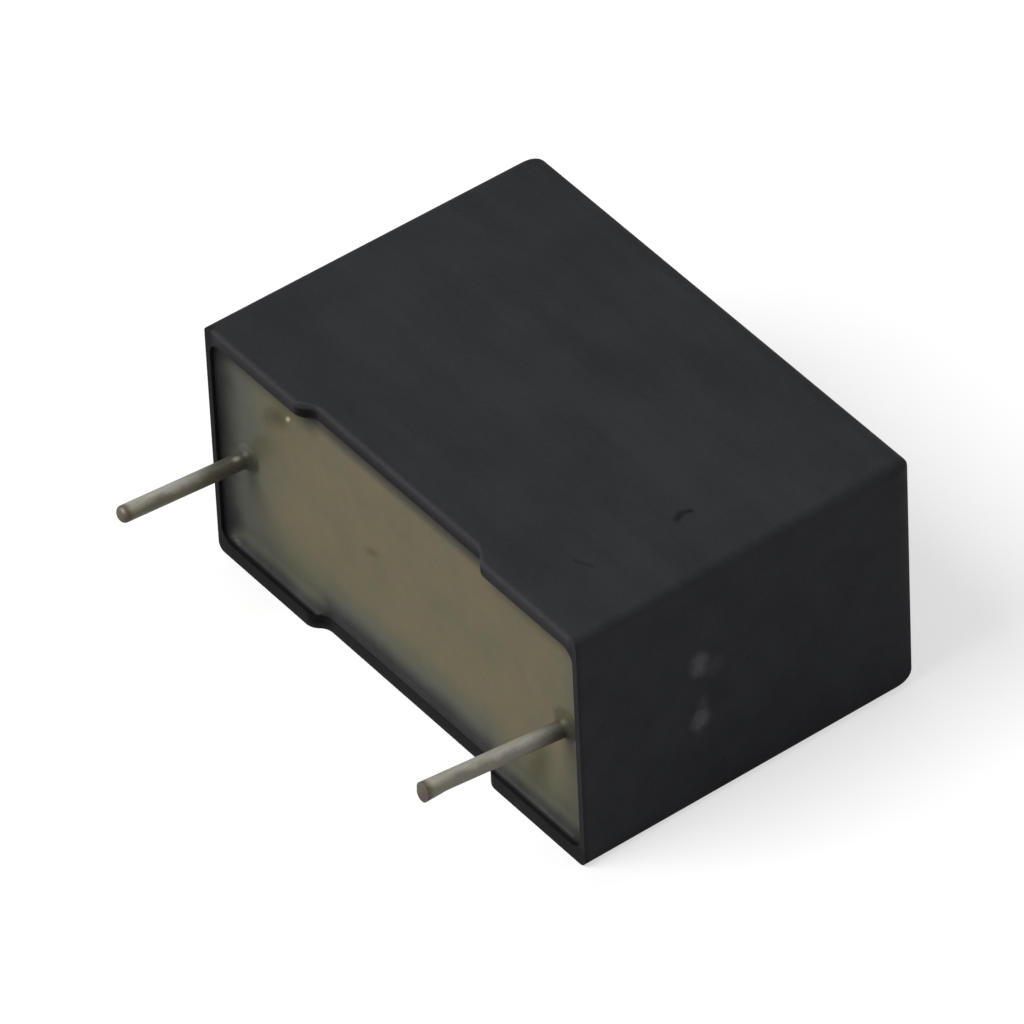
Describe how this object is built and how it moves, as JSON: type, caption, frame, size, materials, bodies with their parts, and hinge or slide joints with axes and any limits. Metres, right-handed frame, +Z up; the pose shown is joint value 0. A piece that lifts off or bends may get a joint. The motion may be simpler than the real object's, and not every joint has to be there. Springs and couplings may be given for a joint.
{
  "type": "box film capacitor",
  "caption": "Box film capacitor with a moulded black case, stand-off feet, a potted resin face and radial wire leads, lying on a wide side.",
  "frame": {"origin": "bottom centre of the whole part, leads included, on the surface that the case lies on", "axes": "+X along the row of leads, -Y the way the leads point, +Y towards the closed end of the case, +Z up through the case's thickness"},
  "size_m": [0.026, 0.025, 0.013],
  "materials": {
    "case_plastic": "satin moulded black polyester",
    "resin": "smooth cast epoxy, slightly cloudy, khaki",
    "film": "wound metallized polypropylene film",
    "zinc": "flame-sprayed zinc, grainy",
    "tinned_wire": "dull tin on drawn wire"
  },
  "bodies": {
    "root": {"case": "case_plastic", "potting_resin": "resin", "film_winding": "film", "left_end_spray": "zinc", "right_end_spray": "zinc", "left_lead": "tinned_wire", "right_lead": "tinned_wire"}
  },
  "joints": []
}
